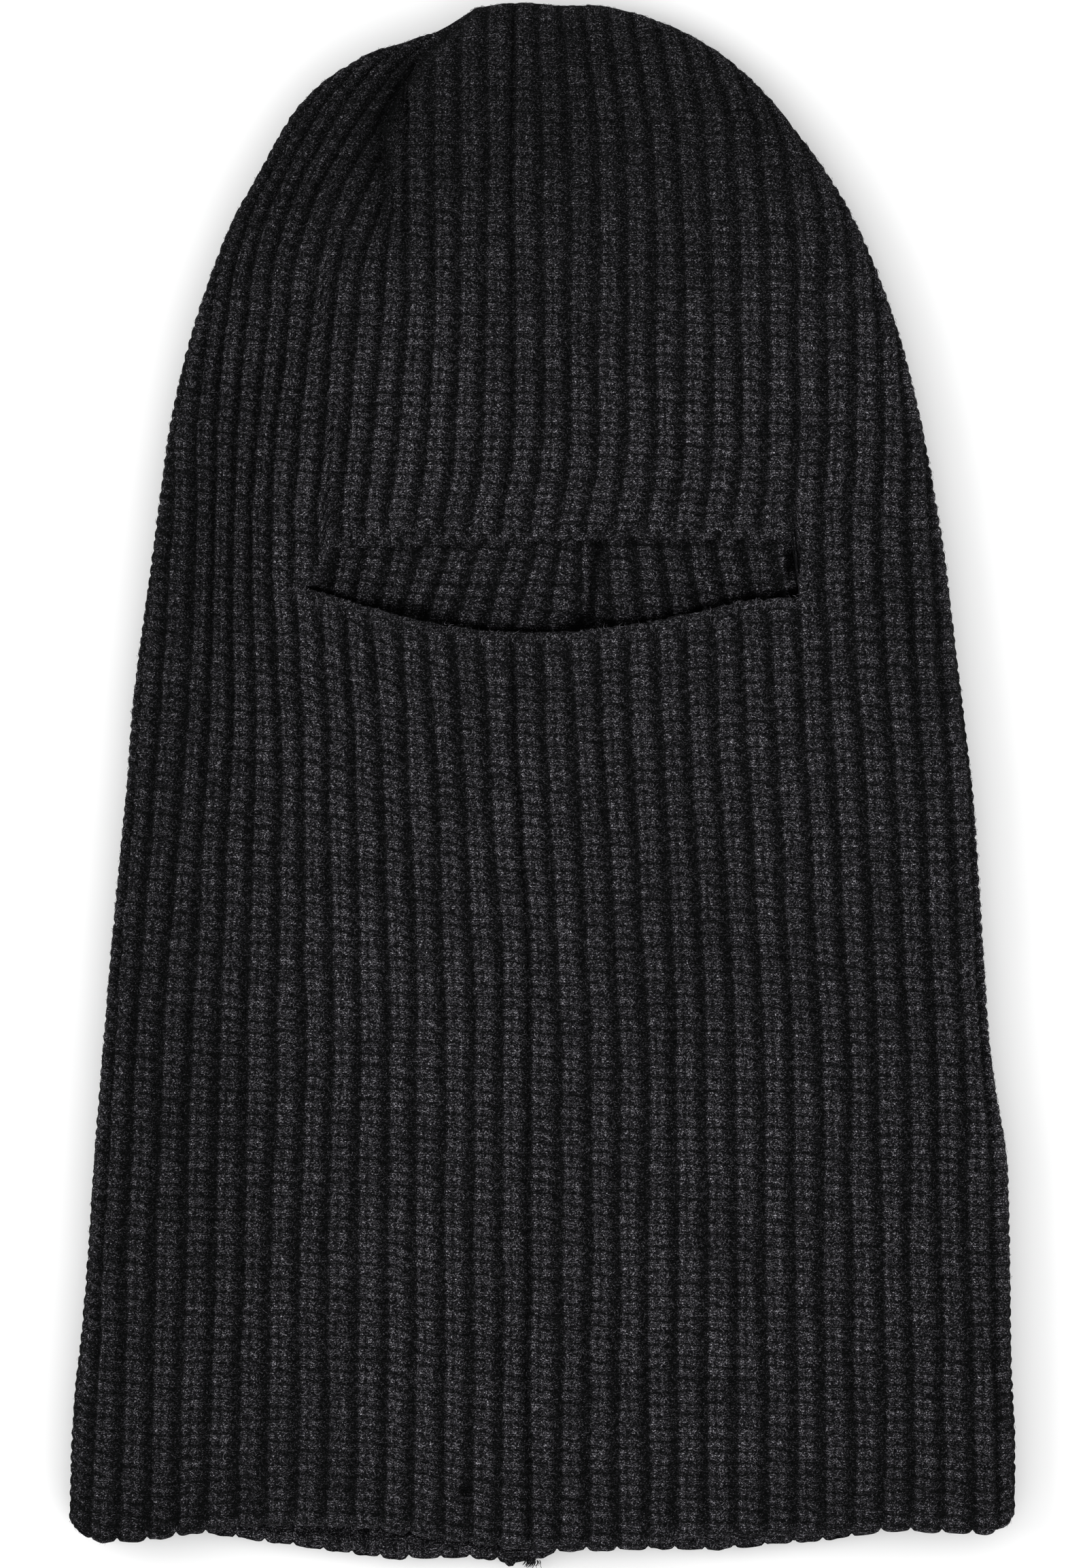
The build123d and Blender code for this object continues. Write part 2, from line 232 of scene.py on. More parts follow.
def rolled(x, h):
    """Position, outward normal and roll angle of points of the flat sheet, once rolled over the outline."""
    flat = np.stack([x.ravel(), h.ravel()], 1)
    near = nearest(flat, INNER_LINE)
    foot, out, reach = INNER_LINE[near], OUT_NORMAL[near], REACH[near]
    over = ((flat - foot) * out).sum(1)
    angle = np.clip(over / ROLL, 0, math.pi / 2)
    inside = over <= 0
    base = flat - out * over[:, None]
    pos = np.zeros((len(flat), 3))
    pos[:, :2] = np.where(inside[:, None], flat, base + out * (reach * np.sin(angle))[:, None])
    pos[:, 2] = MIDDLE + ROLL * np.cos(angle)
    up = np.zeros((len(flat), 3))
    up[:, :2] = out * np.sin(angle)[:, None]
    up[:, 2] = np.cos(angle)
    return pos.reshape(*x.shape, 3), up.reshape(*x.shape, 3), angle.reshape(x.shape)


# --- Where the ribs run, and the garment's edges
def crease_x(h):
    """The line where the crown's left section goes under its middle one."""
    return -40.6 + 12.6 * np.clip((h - 366) / 25, 0, 1.6) ** 1.5 - 1.2 * hump(h, 370, 14)


def crease_strength(h):
    return ease((h - 326) / 44)


def rib_x(u, h):
    """X of rib coordinate u at a height. Whole numbers are the valleys between ribs."""
    middle = np.interp(h, [0, 140, 217, 250, 270, 290, 400], [-3.9, -3.9, -7.5, -9.0, -9.6, -8.4, -8.2])
    right = np.interp(h, [0, 140, 340, 370, 384, 405], [7.6, 7.43, 7.28, 7.05, 6.6, 6.1])
    left = np.interp(h, [0, 140, 217, 270, 290, 323], [7.6, 7.27, 7.34, 8.2, 7.77, 7.08])
    tighten = np.interp(h, [0, 140, 217, 270, 290, 323], [0, 0, 0.065, 0.16, 0.117, 0.084])
    k = np.abs(u)
    x = middle + np.where(u > 0, right * u, -left * k + tighten * np.minimum(k, 13) ** 2)
    x += 0.45 * noise(np.round(u) * 0.77 + 9, h / 40, 3) + 0.3 * noise(u * 0.9, h / 14, 4)
    x += 26.5 * np.clip((h - 322.7) / 61.3, 0, 1.5) ** 1.75 * ease((-u - 3.9) / 2.2)
    crease, slack = crease_x(h), 14 * (1 - ease((h - 322) / 34))
    x = np.where(u <= -4.5, np.minimum(x, crease + slack - 0.02 * (k - 4.5)), x)
    return np.where(u > -4.5, np.maximum(x, crease - slack + 0.02 * (u + 4.5)), x)


FRONT_HEM = table(
    [(-124, 11), (-119, 6.4), (-113, 5.2), (-104, 5.6), (-96, 6.4), (-88, 7.8), (-78, 9.0), (-62, 9.2),
     (-45, 8.4), (-30, 6.2), (-14, 3.9), (0, 2.9), (15, 2.8), (26, 3.7), (36, 6.0), (60, 6.5), (72, 6.6),
     (82, 7.2), (92, 7.9), (104, 7.5), (114, 7.4), (119.5, 8.4), (124, 12)], 1.5)
BACK_HEM = table(
    [(-124, 11), (-119, 6.4), (-113, 5.2), (-104, 5.6), (-95, 6.5), (-86, 6.9), (-75, 5.2), (-60, 3.0),
     (-50, 1.5), (-40, 0.3), (-20, 0.5), (-12, -0.4), (-4, -0.2), (4, 2.2), (20, 2.8), (45, 2.6), (60, 4.0),
     (72, 4.8), (82, 6.5), (92, 7.8), (104, 7.5), (114, 7.4), (119.5, 8.4), (124, 12)], 1.5)


def seen_x(x):
    """X of a point near the hem as seen from above, once rolled over the side fold."""
    inner = HALF_HEM - ROLL
    angle = np.clip((np.abs(x) - inner) / ROLL, 0, math.pi / 2)
    return np.sign(x) * np.where(np.abs(x) > inner, inner + ROLL * np.sin(angle), np.abs(x))


def front_hem(x):
    return FRONT_HEM(seen_x(x))


def back_hem(x):
    return BACK_HEM(seen_x(x))


def corner_line(x):
    """Height of the slot's corners: the right one lies lower."""
    return SLOT_CORNER - 0.7 * hump(x, SLOT_LEFT, 14) - 3.0 * hump(x, SLOT_RIGHT - 1, 15)


def nose_line(x):
    """Height of the slot's lower edge, and of its corners outside it."""
    t = np.clip((x - (SLOT_LEFT + SLOT_RIGHT) / 2) / ((SLOT_RIGHT - SLOT_LEFT) / 2), -1, 1)
    return corner_line(x) - (SLOT_CORNER - SLOT_NOSE) * (1 - np.abs(t + 0.05 * (1 - t * t)) ** 1.9)


def brow_line(x):
    """Height of the slot's upper edge, and of its corners outside it."""
    top = SLOT_BROW - 1.6 + 2.0 * ease((x + 50) / 70)
    open_share = ease((x - SLOT_LEFT - 4.5) / 4.5) * ease((SLOT_RIGHT - x) / 2.2)
    return corner_line(x) + (top - corner_line(x)) * open_share


SLOT_X = np.linspace(SLOT_LEFT, SLOT_RIGHT, 260)
NOSE_POINTS = np.stack([SLOT_X, nose_line(SLOT_X)], 1)
BROW_POINTS = np.stack([SLOT_X, brow_line(SLOT_X)], 1)


def distance_to(line, x, h):
    flat = np.stack([x.ravel(), h.ravel()], 1)
    near = line[nearest(flat, line)]
    return np.linalg.norm(flat - near, axis=1).reshape(x.shape)


def level(value):
    return lambda x: np.zeros_like(x) + value


def seam_x(h):
    return SEAM_AT_HEM + SEAM_SLOPE * h


# --- The stitches
ACROSS = [0, 0.05, 0.12, 0.20, 0.28, 0.36, 0.42, 0.50, 0.58, 0.68, 0.78, 0.88, 0.95, 1]
RIB_HEIGHT = [0.04, 0, 0.24, 0.76, 1.0, 0.90, 0.70, 0.90, 1.0, 0.90, 0.60, 0.28, 0.12, 0.04]
# Painted light and shade across one rib, from valley to valley: dark valleys where shade falls between ribs,
# and a lighter left flank lit from the left.
RIB_LIGHT_AND_SHADE = [(0, 0.21), (0.06, 0.17), (0.12, 0.27), (0.18, 0.72), (0.24, 1.05), (0.30, 1.05), (0.36, 0.72),
            (0.41, 0.48), (0.46, 0.64), (0.53, 0.95), (0.61, 0.95), (0.70, 0.68), (0.80, 0.44), (0.90, 0.27),
            (1, 0.21)]


def stitches(u, v, seed):
    """Relief, from 0 in the valleys to 1 on the ribs, the brightness of each bead of yarn, and the course."""
    rib = np.floor(u)
    along = v + 0.5 * chance(rib, 0 * rib, seed + 7) + 0.08 * noise(rib * 1.7, v / 5, seed + 3)
    course = np.floor(along)
    q = np.clip(u - rib + 0.05 * noise(rib * 3.1 + 0.5, along / 1.9, seed), 0, 1)
    gap = np.abs(2 * (along - course) - 1) ** 2
    size = 1 + 0.2 * (2 * chance(rib, course, seed) - 1)
    relief = np.interp(q, ACROSS, RIB_HEIGHT) * (size - 0.55 * gap)
    tint = 0.80 + 0.4 * chance(rib, course, seed + 11)
    return relief, tint, along


def painted_shade_by_region(x, h):
    """Painted shade: how bright the yarn is drawn in each part, darker towards the sides, the crown and the
    hem, as if less light reached them.
    """
    cheek = hump(h, 250, 80)
    left = 1 - (0.25 + 0.15 * cheek) * ease((-x - 50) / 45)
    right = 1 - (0.08 + 0.24 * cheek) * ease((x - 58) / 45)
    crown = (1 - 0.48 * ease((h - 285) / 90)) * (1 - 0.20 * ease((-x - 26) / 16) * ease((h - 325) / 30))
    hem = 1 - 0.17 * ease(1 - (h - 6) / 30)
    return left * right * crown * hem


def pit(x, h):
    """The small pit at the slot's right corner, 1 in its middle; the layers sink there and painted shade
    darkens it.
    """
    return np.exp(-(((x - 64.6 - 0.1 * (h - 257)) / 2.0) ** 4) - ((h - 256.8) / 3.9) ** 4)


def front_sink(x, h):
    """How far the front layer lies below its full height: soft waves, a lower brow and hem, a dent, a pit."""
    wave = 0.5 + 0.5 * noise(x / 46 + 3, h / 60, 11) + 0.25 * noise(x / 21, h / 24 + 5, 12)
    cheeks = 0.9 * hump(x, 0, 100) * hump(h, SLOT_CORNER, 34)
    over_slot = ease((x - SLOT_LEFT - 1) / 14) * ease((SLOT_RIGHT + 1 - x) / 12)
    above = (h > SLOT_CORNER + 0.01) * over_slot
    brow = above * (3.6 * ease(1 - (h - SLOT_BROW) / 42) + 3.3 * ease(1 - (h - SLOT_BROW) / 13))
    dent = 2.4 * np.exp(-(((x - DENT[0]) / 2.6) ** 2 + ((h - DENT[1]) / 2.2) ** 2))
    corner = 2.6 * pit(x, h)
    hem = 4.4 * ease(1 - (h - 4) / 34) * ease((112 - np.abs(x)) / 30)
    return wave + cheeks + brow + hem + dent + corner


def crease_sink(x, h):
    """The left section of the crown dives under the rounded edge of the middle one."""
    gap = x - crease_x(h)
    left = 4.8 * np.exp(np.minimum(gap, 0) / 4.5) * (gap <= 0)
    right = 3.6 * np.exp(-((np.maximum(gap, 0) / 2.2) ** 1.5)) * (gap > 0)
    return crease_strength(h) * (left + right)


GAP_HEIGHT = table(
    [(-62, 0.5), (-50, 0.8), (-44, 1.3), (-38, 2.0), (-31, 3.0), (-24, 1.5), (-17, 1.0), (0, 0.8), (7, 1.6),
     (12.5, 3.6), (16, 1.8), (24, 0.9), (45, 1.1), (60, 1.3), (66, 1.2)], 1.2)


def back_lift(x, h):
    """The back layer rises behind the slot and at the hem, but not at the slot's lower edge or in the pit."""
    low = ease((h - nose_line(x) - 0.2) / np.maximum(2.2 * GAP_HEIGHT(x), 1.5))
    slot = 3.4 * ease((x + 72) / 14) * ease((78 - x) / 12) * low * ease(1 - (h - 272) / 30)
    ends = (2.8 * hump(x, -57, 11) + 2.4 * hump(x, 64, 9)) * low * ease(1 - (h - 268) / 10)
    hem = 3.2 * ease(1 - (h - back_hem(x)) / 10) * ease((104 - np.abs(x)) / 26)
    return slot + ends + hem - 2.8 * pit(x, h)


def back_shade(x, h):
    """Brightness of the back layer's inner face: dark at the seam, with painted shade in the gap under the
    slot's lower edge, painted shadow under its upper edge, and painted shade at its left end and in the pit.
    """
    seam = 1 - 0.85 * np.exp(-(((x - seam_x(h)) / 1.2) ** 2)) * (h > 60)
    # Painted shade in the gap under the slot's lower edge.
    gap = 1 - 0.80 * ease(1.4 - (h - nose_line(x)) / (GAP_HEIGHT(x) * 1.35 + 0.3)) * (h > 180)
    # Painted shadow just under the slot's upper edge.
    under = (0.38 + 0.32 * ease((x - 6) / 8) * ease((56 - x) / 22)) * (0.8 + 0.5 * noise(x / 3.1, 0 * x, 77))
    brow = 1 - np.clip(under, 0, 0.8) * np.exp(-(((h - brow_line(x) + 1.0) / 1.5) ** 2))
    # Painted shade at the slot's left end.
    left = 1 - 0.5 * np.exp(-(((x + 55.2) / 0.8) ** 2))
    # Painted shade in the pit.
    pit_shade = 1 - 0.84 * pit(x, h)
    return seam * gap * brow * left * pit_shade


def flat_size(x, h, clipped):
    """Width, length and area of a panel laid out flat, in metres."""
    free = ~(clipped[:-1, :-1] & clipped[:-1, 1:] & clipped[1:, 1:] & clipped[1:, :-1])
    across = (x[1:, 1:] - x[:-1, :-1]) * (h[1:, :-1] - h[:-1, 1:])
    across -= (x[1:, :-1] - x[:-1, 1:]) * (h[1:, 1:] - h[:-1, :-1])
    used = ~clipped
    width, length = np.ptp(x[used]) * MM, np.ptp(h[used]) * MM
    return float(width), float(length), float(0.5 * np.abs(across[free]).sum() * MM * MM)


def hem_lobes(u):
    """How far each rib's last loop hangs down at the hem, with a narrow notch between two ribs."""
    lobe = np.abs(np.sin(math.pi * u)) ** 0.3
    return 0.2 - (0.9 + 0.5 * chance(np.floor(u), 0 * u, 5)) * lobe + 0.2 * noise(u * 4, 0 * u, 6)


def nose_lobes(u, x):
    """The same along the slot's lower edge, fading out at its ends."""
    return (0.6 * np.abs(np.sin(math.pi * u)) ** 0.5 - 0.45) * hump(x, 2, 64) ** 0.3


def lay_out(front, low_line, high_line, u, t, edge_kind):
    """Where the stitches of a panel lie on the flat sheet, and the height of its lower edge."""
    x = rib_x(u, 0.5 * (low_line(u * 0) + high_line(u * 0)))
    for _ in range(3):
        bottom, top = low_line(x), high_line(x)
        if edge_kind == "hem":
            bottom = bottom + hem_lobes(u)
        if edge_kind == "nose":
            top = top + nose_lobes(u, x)
        h = bottom + (top - bottom) * t
        x = rib_x(u, h)
        if edge_kind == "brow":
            x = x - 2.7 * ease(1 - (h - 258) / 25) * hump(x, 5, 75)
    if not front:
        slant = np.clip((h - 250) / 16, -1, 1) * hump(h, 250, 70)
        x = x + slant * (6.0 * hump(x, -25, 70) * ease((14 - x) / 16) - 2.8 * hump(x, 46, 42))
    return x, h, bottom


def trim(x, h):
    """Cut a panel off at the sheet's end: which points lie beyond it, and all of them moved back onto it."""
    over = top_limit(x)
    clipped = (x < side_limit(h, -1)) | (x > side_limit(h, 1)) | (h > over)
    h = np.where((h > over) & (np.abs(x) < 58), over, h)
    return np.clip(x, side_limit(h, -1), side_limit(h, 1)), h, clipped


def distance_to_edge(edge_kind, x, h, bottom):
    """Distance to the panel's finished edge, or far away for a panel that has none."""
    if edge_kind == "hem":
        return np.abs(h - bottom)
    if edge_kind == "nose":
        return distance_to(NOSE_POINTS, x, h)
    if edge_kind == "brow":
        return distance_to(BROW_POINTS, x, h)
    return np.full(x.shape, 99.0)


def rounding(edge, depth, reach, power=2.0):
    """How far a surface goes in where it rounds over a finished edge."""
    return depth * (1 - np.sqrt(1 - (1 - np.clip(edge / reach, 0, 1)) ** power))


def closing_in(edge_kind, front, edge):
    """How far the outer and inner surfaces go in at a finished edge."""
    if edge_kind == "brow":
        return rounding(edge, 2.2, 2.6, 2.2), 0.0 * edge
    if edge_kind == "hem" and front:
        return rounding(edge, 1.9, 3.2), 0.0 * edge
    both = rounding(edge, LAYER / 2 - 0.15, 2.8)
    return both, both


def shape_front(p, x, h, relief, edge_kind):
    """The front layer's waves, the crease at the crown, the label's dent and the pit at the slot's corner,
    with painted shade beside the crease, in the dent and in the pit.
    """
    crease, beside = crease_sink(x, h), x - crease_x(h)
    roll = crease_strength(h) * np.exp(-((np.maximum(beside, 0) / 3.4) ** 2)) * (beside > -1.0)
    sink = (front_sink(x, h) + crease) * np.clip(p["up"][..., 2], 0, 1) ** 2
    p["outer"] += p["up"] * (RIB_DEPTH * roll * (0.9 - relief))[..., None]
    p["outer"][..., 2] -= sink
    p["inner"][..., 2] -= np.minimum(sink, 4.4 if edge_kind == "brow" else 6.0)
    p["plain"] = np.maximum(np.maximum(p["plain"], roll), 0.22 * ease((h - 290) / 80))
    # Painted shade in the label's dent, beside the crease where the left section dives under, and in the pit.
    dent = 1 - 0.85 * np.exp(-(((x - DENT[0]) / 1.6) ** 2 + ((h - DENT[1]) / 1.2) ** 2))
    p["tint"] = p["tint"] * (1 - 0.6 * roll) * (1 - 0.8 * np.clip(crease / 4.8, 0, 1) ** 1.3)
    p["tint"] = p["tint"] * dent * (1 - 0.84 * pit(x, h))


def shape_back(p, x, h):
    """The back layer: groove at the seam, raised at the slot and hem, then turned over to face the floor,
    with painted shade on its inner face.
    """
    facing = np.clip(p["up"][..., 2], 0, 1)
    beside = np.abs(x - seam_x(h))
    groove = 1.9 * np.exp(-((beside / 1.4) ** 2)) * facing
    lift = back_lift(x, h) * facing
    p["outer"][..., 2] = np.maximum(THICK - (p["outer"][..., 2] - lift - 0.6 * groove), 0.12)
    p["inner"][..., 2] = THICK - (p["inner"][..., 2] - lift + groove)
    p["up"] = p["up"] * [1, 1, -1]
    p["tint"] = p["tint"] * (1 - 0.6 * np.exp(-((beside / 1.0) ** 2)))
    # The inner face takes painted shade from back_shade, besides its dark seam.
    p["inner_tint"] = p["inner_tint"] * back_shade(x, h)
    p["inner_plain"] = 0.6 * ease(1 - (h - back_hem(x)) / 12)


def knit_panel(front, low_line, high_line, courses, first_course, u_range, edge_kind=None):
    """One panel between two lines: outer and inner surfaces, and what the shader needs at each point."""
    columns = int(round((u_range[1] - u_range[0]) * COLUMNS_PER_RIB)) + 1
    rows = courses * ROWS_PER_COURSE + 1
    u = np.linspace(*u_range, columns)[None, :] * np.ones((rows, 1))
    t = np.linspace(0, 1, rows)[:, None] * np.ones((1, columns))
    v = first_course + t * courses
    x, h, bottom = lay_out(front, low_line, high_line, u, t, edge_kind)
    x, h, clipped = trim(x, h)
    pos, up, angle = rolled(x, h)

    relief, tint, row = stitches(u, v, 2 if front else 31)
    inner_relief, inner_tint, inner_row = stitches(u + 0.5, v + 0.3, 51 if front else 71)
    at_fold = ease((angle - 0.95) / 0.62)
    fold_relief = 0.86 - 0.20 * np.abs(2 * ((h / COURSE) % 1) - 1) ** 2.5
    relief = relief * (1 - at_fold) + fold_relief * at_fold
    edge = distance_to_edge(edge_kind, x, h, bottom)
    plain = np.exp(-((edge / 1.5) ** 2)) * {"nose": 0.5, "brow": 1.0, "hem": 0.4}.get(edge_kind, 0.0)
    relief = relief * (1 - plain) + plain * (0.84 + 0.1 * noise(x / 1.6, h * 0, 61))

    fine = 0.15 * noise(x / 1.1, h / 0.9, 17)
    close_outer, close_inner = closing_in(edge_kind, front, edge)
    depth = RIB_DEPTH * (1 - 0.45 * np.exp(-edge / 2.5))
    panel = {
        "outer": pos - up * (depth * (1 - relief) - fine + close_outer)[..., None],
        "inner": pos - up * (LAYER - RIB_DEPTH * 0.8 * (1 - inner_relief) + fine - close_inner)[..., None],
        "up": up, "tint": tint, "inner_tint": inner_tint, "rib": u, "row": row, "inner_row": inner_row,
        "plain": plain, "inner_plain": 0 * u, "clipped": clipped, "front": front,
        "flat": flat_size(x, h, clipped),
    }
    if front:
        shape_front(panel, x, h, relief, edge_kind)
    else:
        shape_back(panel, x, h)
    # Random tone, times painted shade by region.
    panel["tint"] = panel["tint"] * (1 + 0.14 * noise(x / 30, h / 38, 23)) * painted_shade_by_region(x, h)
    return panel


# --- Meshes
def mesh_object(name, points, faces, material, tint=None, rib=None, row=None, plain=None):
    """A smooth mesh object from points in mm (x, height above the hem, z), and what its shader reads."""
    p = np.array(points, float).reshape(-1, 3)
    p[:, 1] += HEM_Y
    mesh = bpy.data.meshes.new(name)
    mesh.from_pydata((p * MM).tolist(), [], faces if isinstance(faces, list) else faces.tolist())
    given = {"tint": (tint, 0.6), "rib": (rib, 0.7), "row": (row, 0.0), "plain": (plain, 1.0)}
    for key, (value, usual) in given.items():
        value = np.full(len(p), usual) if value is None else np.asarray(value, float).ravel()
        mesh.attributes.new(key, "FLOAT", "POINT").data.foreach_set("value", value.astype(np.float32))
    mesh.polygons.foreach_set("use_smooth", np.ones(len(mesh.polygons), bool))
    mesh.materials.append(material)
    ob = bpy.data.objects.new(name, mesh)
    bpy.context.collection.objects.link(ob)
    return ob


def panel_object(name, panel, material):
    """A closed knit panel: outer surface, inner surface, and the walls that join them round the edge."""
    rows, cols = panel["outer"].shape[:2]
    count = rows * cols
    points = np.concatenate([panel["outer"].reshape(-1, 3), panel["inner"].reshape(-1, 3)])
    tint = np.concatenate([panel["tint"].ravel(), panel["inner_tint"].ravel()])
    index = np.arange(count).reshape(rows, cols)
    corners = [index[:-1, :-1], index[:-1, 1:], index[1:, 1:], index[1:, :-1]]
    quads = np.stack(corners, -1).reshape(-1, 4)
    gone = panel["clipped"].ravel()[quads].all(1)
    quads = quads[~gone]
    if not panel["front"]:
        quads = quads[:, ::-1]
    edges = np.concatenate([quads[:, [0, 1]], quads[:, [1, 2]], quads[:, [2, 3]], quads[:, [3, 0]]])
    key = np.sort(edges, 1)
    _, first, uses = np.unique(key[:, 0] * count + key[:, 1], return_index=True, return_counts=True)
    rim = edges[first[uses == 1]]
    walls = np.stack([rim[:, 1], rim[:, 0], rim[:, 0] + count, rim[:, 1] + count], 1)
    faces = np.concatenate([quads, quads[:, ::-1] + count, walls])
    used, faces = np.unique(faces, return_inverse=True)
    rib = np.concatenate([panel["rib"].ravel(), panel["rib"].ravel() + 0.5])
    row = np.concatenate([panel["row"].ravel(), panel["inner_row"].ravel()])
    flat = np.concatenate([panel["plain"].ravel(), panel["inner_plain"].ravel()])
    kept = (tint[used], rib[used], row[used], flat[used])
    ob = mesh_object(name, points[used], faces.reshape(-1, 4), material, *kept)
    bm = bmesh.new()
    bm.from_mesh(ob.data)
    bmesh.ops.remove_doubles(bm, verts=bm.verts, dist=0.0005 * MM)
    bmesh.ops.dissolve_degenerate(bm, edges=bm.edges, dist=0.0002 * MM)
    bm.to_mesh(ob.data)
    bm.free()
    return ob


def tube(path, radius, sides=8):
    """Points and faces of a closed tube along a path; radius may vary along it."""
    path = np.asarray(path, float)
    n = len(path)
    radius = np.broadcast_to(np.asarray(radius, float), (n,))
    way = np.gradient(path, axis=0)
    way /= np.linalg.norm(way, axis=1)[:, None]
    side = np.cross(way, [0.13, 0.21, 0.97])
    side /= np.linalg.norm(side, axis=1)[:, None]
    other = np.cross(way, side)
    angle = np.linspace(0, 2 * math.pi, sides, endpoint=False)
    rings = path[:, None] + radius[:, None, None] * (
        side[:, None] * np.cos(angle)[None, :, None] + other[:, None] * np.sin(angle)[None, :, None]
    )
    faces = []
    for i in range(n - 1):
        for j in range(sides):
            k = (j + 1) % sides
            faces.append([i * sides + j, i * sides + k, (i + 1) * sides + k, (i + 1) * sides + j])
    faces.append(list(range(sides))[::-1])
    faces.append([(n - 1) * sides + j for j in range(sides)])
    return rings.reshape(-1, 3), faces


def yarn_object(name, paths, radius, material, sides=8, tint=0.6):
    """Many lengths of yarn in one mesh. Each entry of radius belongs to one path."""
    points, faces, at = [], [], 0
    for path, r in zip(paths, radius):
        p, f = tube(path, r, sides)
        points.append(p)
        faces += [[i + at for i in face] for face in f]
        at += len(p)
    points = np.concatenate(points)
    return mesh_object(name, points, faces, material, np.full(len(points), tint))


def place(ob, body, slot, *nodes):
    """Put a piece on its body, in place of its CAD nodes.

    Pieces of the head and of the hem ride on their parts. Those of the neck stay where they are.
    """
    if body == "head":
        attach(ob, "head_part")
    elif body == "neck_end":
        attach(ob, "neck_part")
    else:
        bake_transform(ob)
    if nodes:
        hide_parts(*nodes)


